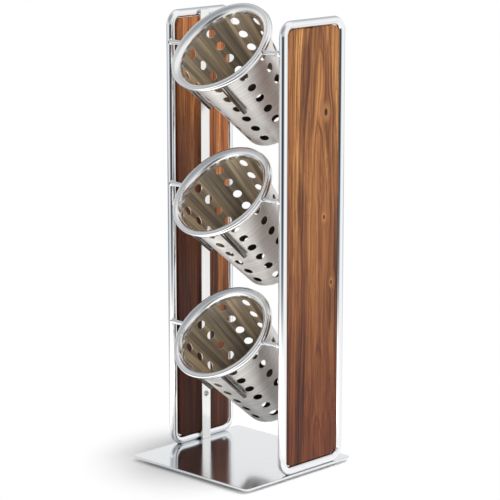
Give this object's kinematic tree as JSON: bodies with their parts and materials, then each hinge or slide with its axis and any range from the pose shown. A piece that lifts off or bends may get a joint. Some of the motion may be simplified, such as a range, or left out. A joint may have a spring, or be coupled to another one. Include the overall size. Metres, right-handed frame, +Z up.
{
  "type": "flatware cylinder holder",
  "caption": "Countertop flatware holder: chrome rod frames with wooden side panels on a steel base carry tilted, perforated steel cups that lift out of wire rings.",
  "frame": {"origin": "on the table, below the middle of the base plate", "axes": "+Z up, -Y towards the mouths of the cups, +X to the right of a person who faces the mouths"},
  "size_m": [0.17, 0.1616, 0.4883],
  "materials": {
    "chrome": "bright plated rod and wire",
    "polished_steel": "polished sheet, close to a mirror",
    "satin_steel": "satin flat bar",
    "cup_steel": "satin drawn sheet with a bright lip",
    "screw_steel": "plated",
    "wood": "satin lacquer over brown stain",
    "rubber": "matte"
  },
  "bodies": {
    "stand": {"base_plate": "polished_steel", "rubber_feet": "rubber", "base_screws": "screw_steel", "left_frame": "chrome", "left_panel": "wood", "left_strip": "satin_steel", "left_panel_screws": "screw_steel", "right_frame": "chrome", "right_panel": "wood", "right_strip": "satin_steel", "right_panel_screws": "screw_steel", "lower_ring": "chrome", "lower_left_arm": "chrome", "lower_right_arm": "chrome", "lower_left_prong": "chrome", "lower_right_prong": "chrome", "middle_ring": "chrome", "middle_left_arm": "chrome", "middle_right_arm": "chrome", "middle_left_prong": "chrome", "middle_right_prong": "chrome", "upper_ring": "chrome", "upper_left_arm": "chrome", "upper_right_arm": "chrome", "upper_left_prong": "chrome", "upper_right_prong": "chrome"},
    "lower_cup": {"lower_cup": "cup_steel"},
    "middle_cup": {"middle_cup": "cup_steel"},
    "upper_cup": {"upper_cup": "cup_steel"}
  },
  "joints": [
    {"name": "lower_cup_lift", "type": "slide", "parent": "stand", "child": "lower_cup", "axis": [0, -0.7826, 0.6225], "range_m": [0, 0.135]},
    {"name": "middle_cup_lift", "type": "slide", "parent": "stand", "child": "middle_cup", "axis": [0, -0.7826, 0.6225], "range_m": [0, 0.135]},
    {"name": "upper_cup_lift", "type": "slide", "parent": "stand", "child": "upper_cup", "axis": [0, -0.7826, 0.6225], "range_m": [0, 0.135]}
  ]
}
